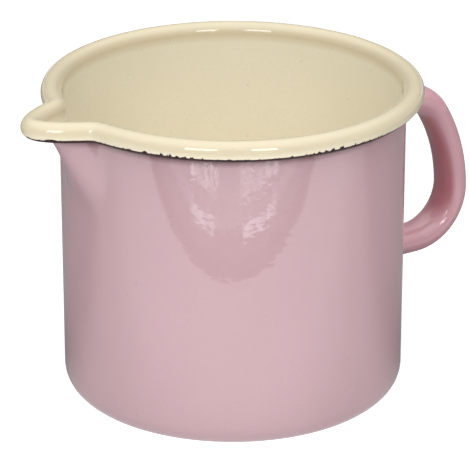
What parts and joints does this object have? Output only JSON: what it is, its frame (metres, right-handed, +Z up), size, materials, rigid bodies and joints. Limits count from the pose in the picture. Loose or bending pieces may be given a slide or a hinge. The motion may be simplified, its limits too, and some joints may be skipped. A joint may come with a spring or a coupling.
{
  "type": "candle melting pot",
  "caption": "Small enamelled steel melting pot with a rolled rim, a pressed pouring spout and a hollow side handle opposite it.",
  "frame": {"origin": "centre of the flat underside, on the pot's axis", "axes": "+Z up along the pot's axis, +X towards the handle, so the spout points along -X"},
  "size_m": [0.1807, 0.1318, 0.1132],
  "materials": {
    "sheet_steel": "satin",
    "cream_enamel": "gloss",
    "pink_enamel": "gloss",
    "ground_coat": "satin",
    "weld_metal": "matte"
  },
  "bodies": {
    "root": {"steel_body": "sheet_steel", "interior_enamel": "cream_enamel", "exterior_enamel": "pink_enamel", "rim_ground_coat": "ground_coat", "handle_shell": "sheet_steel", "handle_enamel": "pink_enamel", "upper_handle_weld": "weld_metal", "lower_handle_weld": "weld_metal"}
  },
  "joints": []
}
